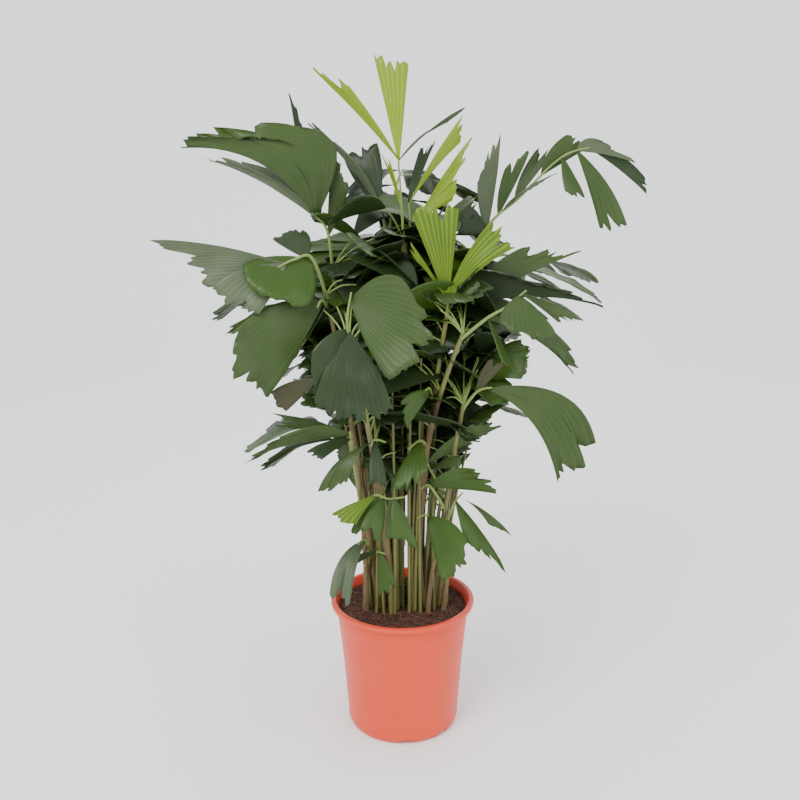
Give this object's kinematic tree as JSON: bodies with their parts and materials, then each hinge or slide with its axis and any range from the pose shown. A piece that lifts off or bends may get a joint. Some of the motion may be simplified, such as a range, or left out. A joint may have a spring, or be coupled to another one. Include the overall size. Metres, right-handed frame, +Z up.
{
  "type": "potted fishtail palm",
  "caption": "Clumping fishtail palm with slender canes and wedge-shaped pleated leaves, in a tapered terracotta-coloured plastic nursery pot.",
  "frame": {"origin": "centre of the pot's flat underside", "axes": "+Z up through the pot's axis, -Y towards the viewer of the picture, +X to the viewer's right"},
  "size_m": [0.7647, 0.7079, 1.0963],
  "materials": {
    "pot": "satin terracotta-coloured moulded plastic",
    "soil": "rough dark potting mix",
    "cane": "green-brown canes with fibrous leaf bases",
    "leaf": "pleated leaf, slight sheen"
  },
  "bodies": {
    "root": {"back_frond_a": "leaf", "back_frond_b": "leaf", "back_frond_c": "leaf", "back_frond_d": "leaf", "back_frond_e": "leaf", "back_frond_f": "leaf", "back_frond_g": "leaf", "back_frond_h": "leaf", "back_frond_i": "leaf", "cane_back": "cane", "cane_droop": "cane", "cane_fan": "cane", "cane_far_left": "cane", "cane_far_right": "cane", "cane_front": "cane", "cane_left": "cane", "cane_low_right": "cane", "cane_lower_left": "cane", "cane_right": "cane", "cane_right_back": "cane", "cane_short_left": "cane", "cane_short_right": "cane", "cane_top": "cane", "cane_upper_left": "cane", "cane_upper_right": "cane", "cane_young_right": "cane", "frond_back_left": "leaf", "frond_base_centre": "leaf", "frond_base_left": "leaf", "frond_base_low": "leaf", "frond_base_right": "leaf", "frond_centre": "leaf", "frond_centre_left": "leaf", "frond_centre_small": "leaf", "frond_droop": "leaf", "frond_fan": "leaf", "frond_front": "leaf", "frond_left": "leaf", "frond_left_hanging": "leaf", "frond_left_low": "leaf", "frond_low_right": "leaf", "frond_low_strip": "leaf", "frond_lower_left": "leaf", "frond_over_rim": "leaf", "frond_right": "leaf", "frond_right_back": "leaf", "frond_top": "leaf", "frond_upper_left": "leaf", "frond_upper_right": "leaf", "frond_young_right": "leaf", "pot": "pot", "soil": "soil"}
  },
  "joints": []
}
